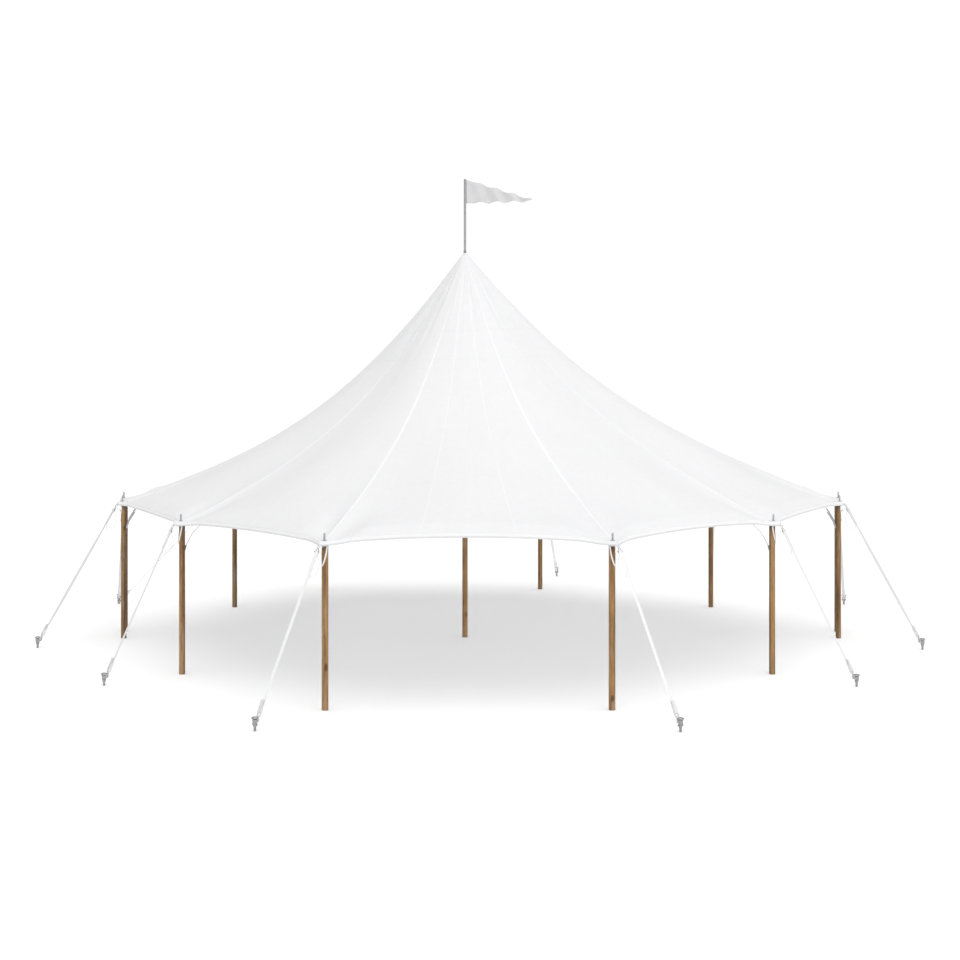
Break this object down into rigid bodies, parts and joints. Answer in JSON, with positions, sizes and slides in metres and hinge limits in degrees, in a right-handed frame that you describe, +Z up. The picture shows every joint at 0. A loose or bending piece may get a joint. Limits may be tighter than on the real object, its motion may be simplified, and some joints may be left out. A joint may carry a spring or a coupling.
{
  "type": "marquee tent",
  "caption": "White sailcloth marquee with a tall pointed roof on a timber centre pole and side poles, held by webbing guys with ratchets to ground stakes, and a pennant on top.",
  "frame": {"origin": "middle of the centre pole's foot, on the floor", "axes": "+Z up, -Y towards the front bay, +X to the right seen from the front; the pennant flies towards +X"},
  "size_m": [15.774, 15.8585, 8.434],
  "materials": {
    "canvas": "white woven sailcloth, matte, lightly translucent",
    "timber": "peeled round pole, oiled brown, satin",
    "steel": "galvanised, dull",
    "webbing": "white polyester webbing, matte",
    "bunting": "pale grey nylon, matte"
  },
  "bodies": {
    "root": {"canopy": "canvas", "centre_pole": "timber", "peak_cap": "steel", "flag_mast": "steel", "flag": "bunting", "pole_front_left": "timber", "pole_front_side_left": "timber", "pole_mid_front_left": "timber", "pole_mid_back_left": "timber", "pole_back_side_left": "timber", "pole_back_left": "timber", "pole_back_right": "timber", "pole_back_side_right": "timber", "pole_mid_back_right": "timber", "pole_mid_front_right": "timber", "pole_front_side_right": "timber", "pole_front_right": "timber", "pin_front_left": "steel", "pin_front_side_left": "steel", "pin_mid_front_left": "steel", "pin_mid_back_left": "steel", "pin_back_side_left": "steel", "pin_back_left": "steel", "pin_back_right": "steel", "pin_back_side_right": "steel", "pin_mid_back_right": "steel", "pin_mid_front_right": "steel", "pin_front_side_right": "steel", "pin_front_right": "steel", "guy_front_left": "webbing", "guy_front_side_left": "webbing", "guy_mid_front_left": "webbing", "guy_mid_back_left": "webbing", "guy_back_side_left": "webbing", "guy_back_left": "webbing", "guy_back_right": "webbing", "guy_back_side_right": "webbing", "guy_mid_back_right": "webbing", "guy_mid_front_right": "webbing", "guy_front_side_right": "webbing", "guy_front_right": "webbing", "stake_front_left": "steel", "stake_front_side_left": "steel", "stake_mid_front_left": "steel", "stake_mid_back_left": "steel", "stake_back_left": "steel", "stake_back_right": "steel", "stake_back_side_right": "steel", "stake_mid_back_right": "steel", "stake_mid_front_right": "steel", "stake_front_side_right": "steel", "stake_front_right": "steel"}
  },
  "joints": []
}
